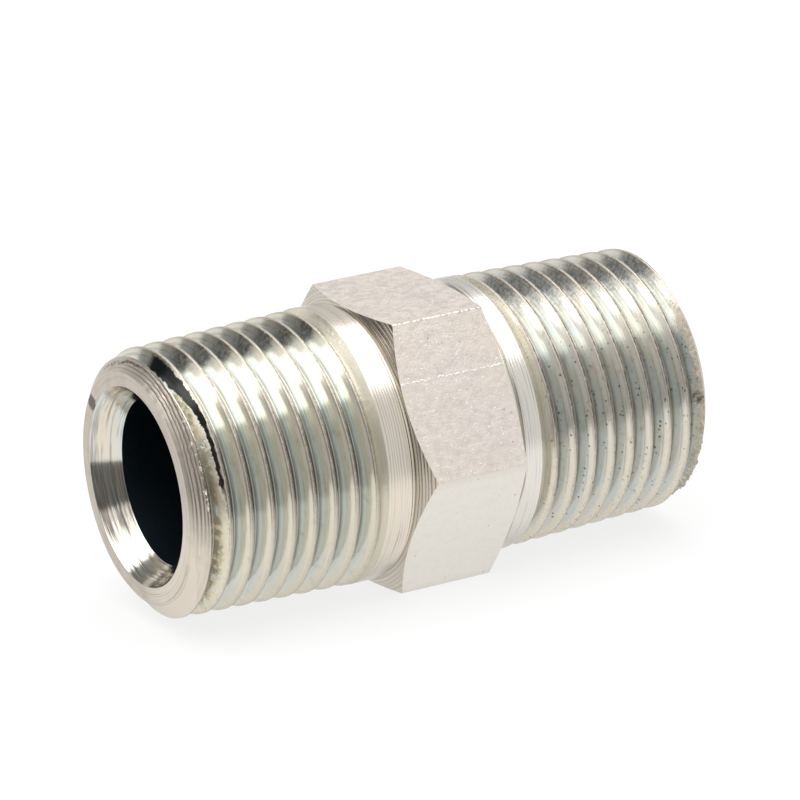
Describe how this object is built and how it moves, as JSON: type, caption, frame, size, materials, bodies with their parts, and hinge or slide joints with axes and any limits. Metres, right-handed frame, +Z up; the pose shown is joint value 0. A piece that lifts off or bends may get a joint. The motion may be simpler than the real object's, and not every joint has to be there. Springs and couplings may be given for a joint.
{
  "type": "hexagon pipe nipple",
  "caption": "Straight male adapter turned from hexagon bar: tapered pipe thread on each end, plain collars beside the hexagon, through bore with conical seats.",
  "frame": {"origin": "middle of the part's length, on the axis of the bore", "axes": "+X along the bore, away from the end with the visible seat; +Z up from the flat that the part lies on; the other wrench corners point along +Y and -Y"},
  "size_m": [0.0364, 0.0202, 0.0174],
  "materials": {
    "zinc_plated_steel": "clear passivated zinc plating over turned steel, satin on the flats and brighter on the thread flanks"
  },
  "bodies": {
    "root": {"hex_nipple": "zinc_plated_steel"}
  },
  "joints": []
}
